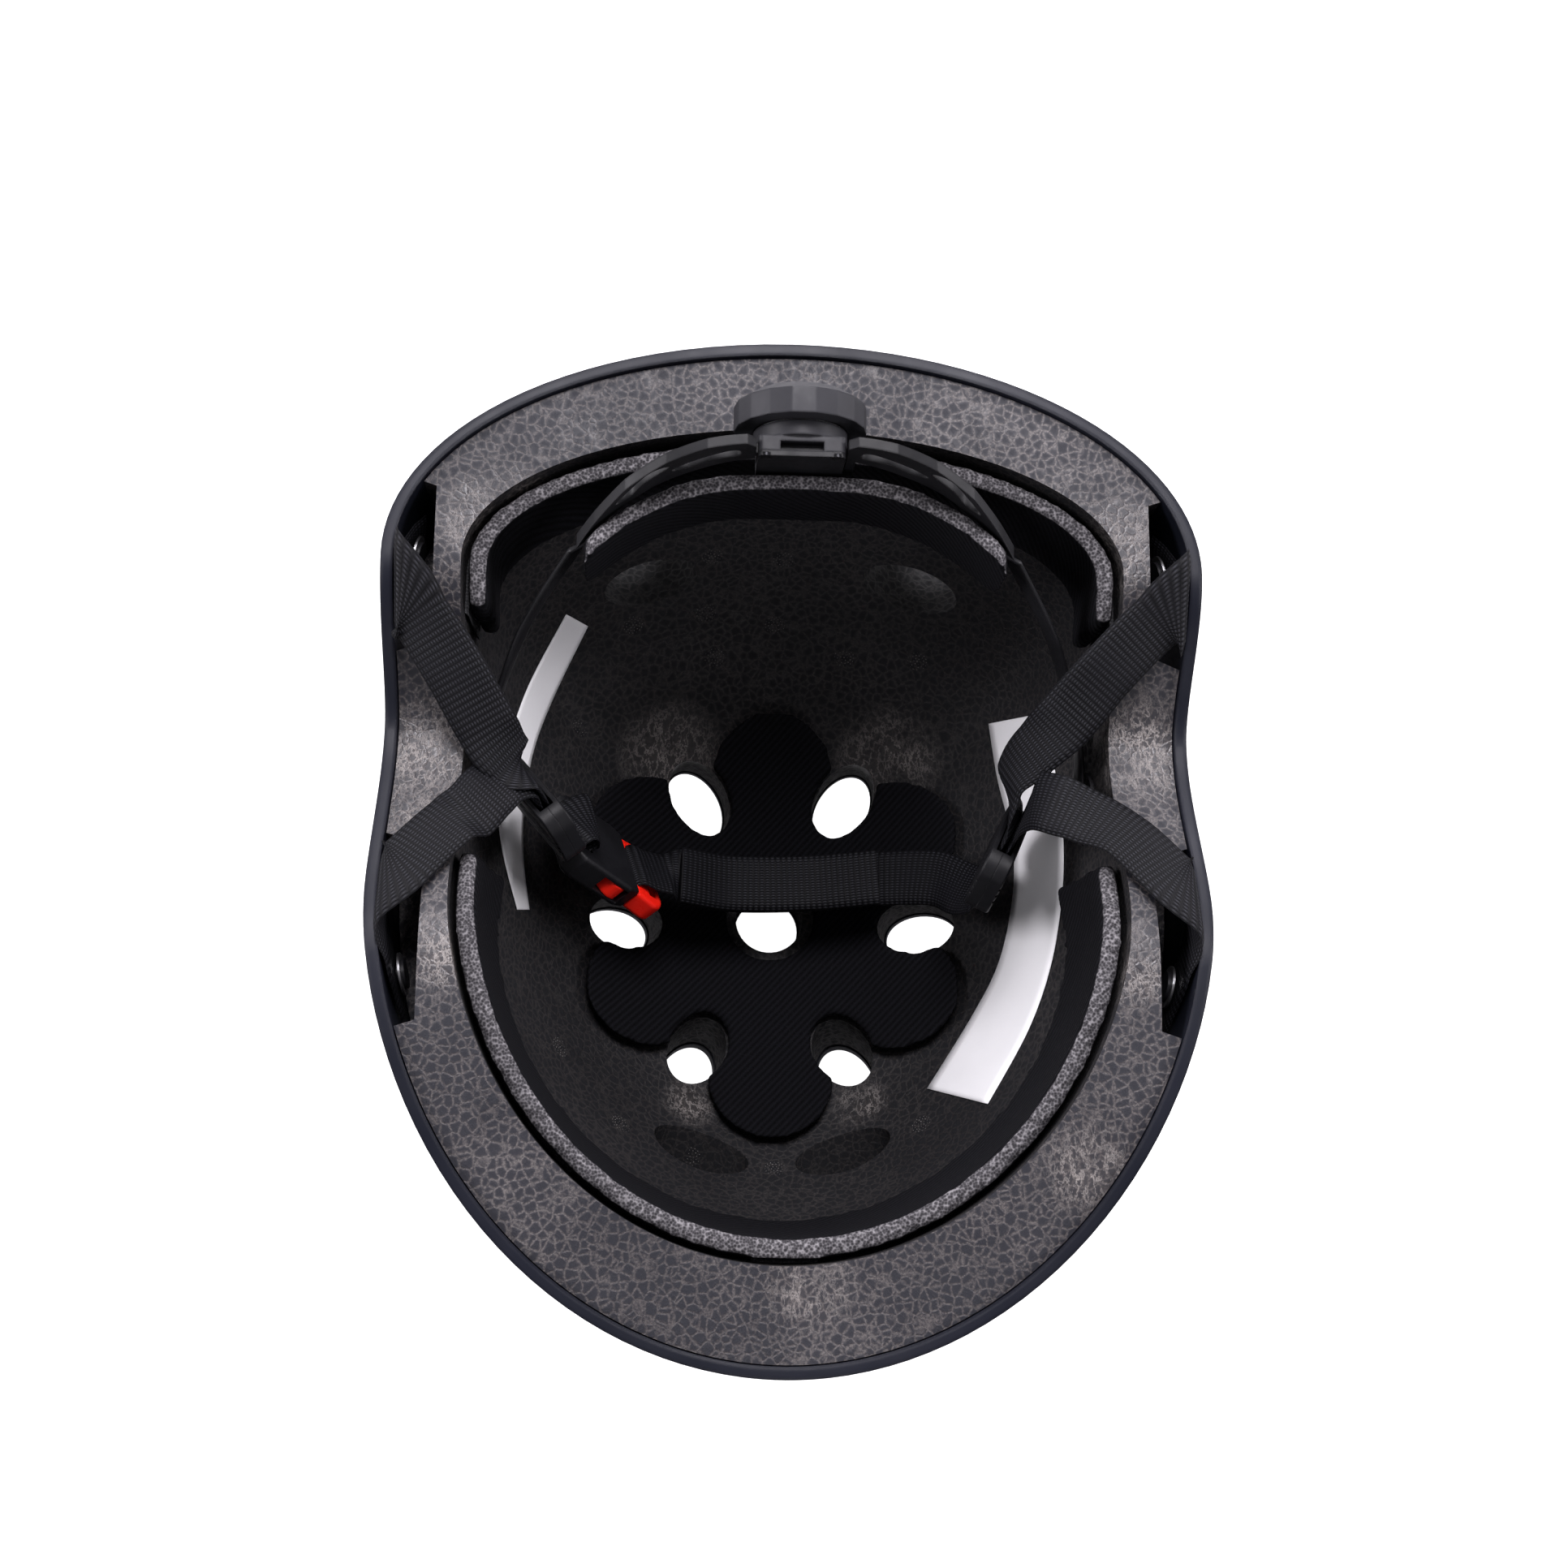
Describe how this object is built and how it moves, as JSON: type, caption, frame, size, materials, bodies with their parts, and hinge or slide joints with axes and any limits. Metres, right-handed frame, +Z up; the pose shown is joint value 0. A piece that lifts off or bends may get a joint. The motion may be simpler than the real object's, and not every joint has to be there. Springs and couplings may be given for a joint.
{
  "type": "skateboard helmet",
  "caption": "Bowl-shaped skateboard helmet lying crown down, with foam liner, comfort pads, webbing straps, side-release buckle and dial-driven fit cradle.",
  "frame": {"origin": "middle of the small flat on the crown, which rests on the table", "axes": "+Z up out of the open side, -Y towards the brow, +Y towards the back of the head, +X to the right in the picture"},
  "size_m": [0.2048, 0.2546, 0.1669],
  "materials": {
    "shell_plastic": "satin",
    "foam": "beaded",
    "pad_fabric": "ribbed knit",
    "hook_tape": "hooked",
    "rivet_metal": "brushed",
    "webbing": "woven ribs",
    "black_plastic": "satin",
    "red_plastic": "smooth",
    "screw_steel": "plated"
  },
  "bodies": {
    "helmet": {"outer_shell": "shell_plastic", "foam_liner": "foam", "brow_pad": "pad_fabric", "rear_ring_pad": "pad_fabric", "crown_pad": "pad_fabric", "cradle_pad": "pad_fabric", "hook_dots": "hook_tape", "strap_rivets": "rivet_metal", "rivet_washers": "rivet_metal", "strap_rear_right": "webbing", "strap_front_right": "webbing", "strap_rear_left": "webbing", "strap_front_left": "webbing", "buckle_strap": "webbing", "divider_base_left": "black_plastic", "divider_cover_left": "black_plastic", "divider_base_right": "black_plastic", "divider_cover_right": "black_plastic", "buckle_female": "black_plastic", "dial_housing": "black_plastic", "housing_cover": "black_plastic", "belt_anchor_left": "black_plastic", "belt_anchor_right": "black_plastic", "cover_screws": "screw_steel"},
    "dial": {"dial_knob": "black_plastic", "dial_pinion": "black_plastic", "dial_screw": "screw_steel", "click_ring": "screw_steel"},
    "arm_left": {"lattice_arm_left": "black_plastic", "fit_belt_left": "black_plastic"},
    "arm_right": {"lattice_arm_right": "black_plastic", "fit_belt_right": "black_plastic"},
    "buckle_half": {"buckle_male": "red_plastic", "chin_strap": "webbing", "chin_strap_tail": "webbing", "buckle_prong_left": "red_plastic", "buckle_prong_right": "red_plastic"}
  },
  "joints": [
    {"name": "dial_turn", "type": "hinge", "parent": "helmet", "child": "dial", "pos_m": [0, 0.0969, 0.1506], "axis": [0, -0.9986, -0.0523], "range_deg": [0, 100]},
    {"name": "arm_left_slide", "type": "slide", "parent": "helmet", "child": "arm_left", "axis": [-1, 0, 0], "range_m": [0, 0.0079], "deforming": ["fit_belt_left"]},
    {"name": "arm_right_slide", "type": "slide", "parent": "helmet", "child": "arm_right", "axis": [1, 0, 0], "range_m": [0, 0.0079], "deforming": ["fit_belt_right"]},
    {"name": "buckle_release", "type": "slide", "parent": "helmet", "child": "buckle_half", "axis": [0.6123, -0.2611, -0.7463], "range_m": [0, 0.017], "deforming": ["buckle_prong_left", "buckle_prong_right", "chin_strap", "chin_strap_tail"]}
  ],
  "couplings": [
    {"joint": "arm_left_slide", "follows": "dial_turn", "m_per_rad": 0.0045},
    {"joint": "arm_right_slide", "follows": "dial_turn", "m_per_rad": 0.0045}
  ]
}
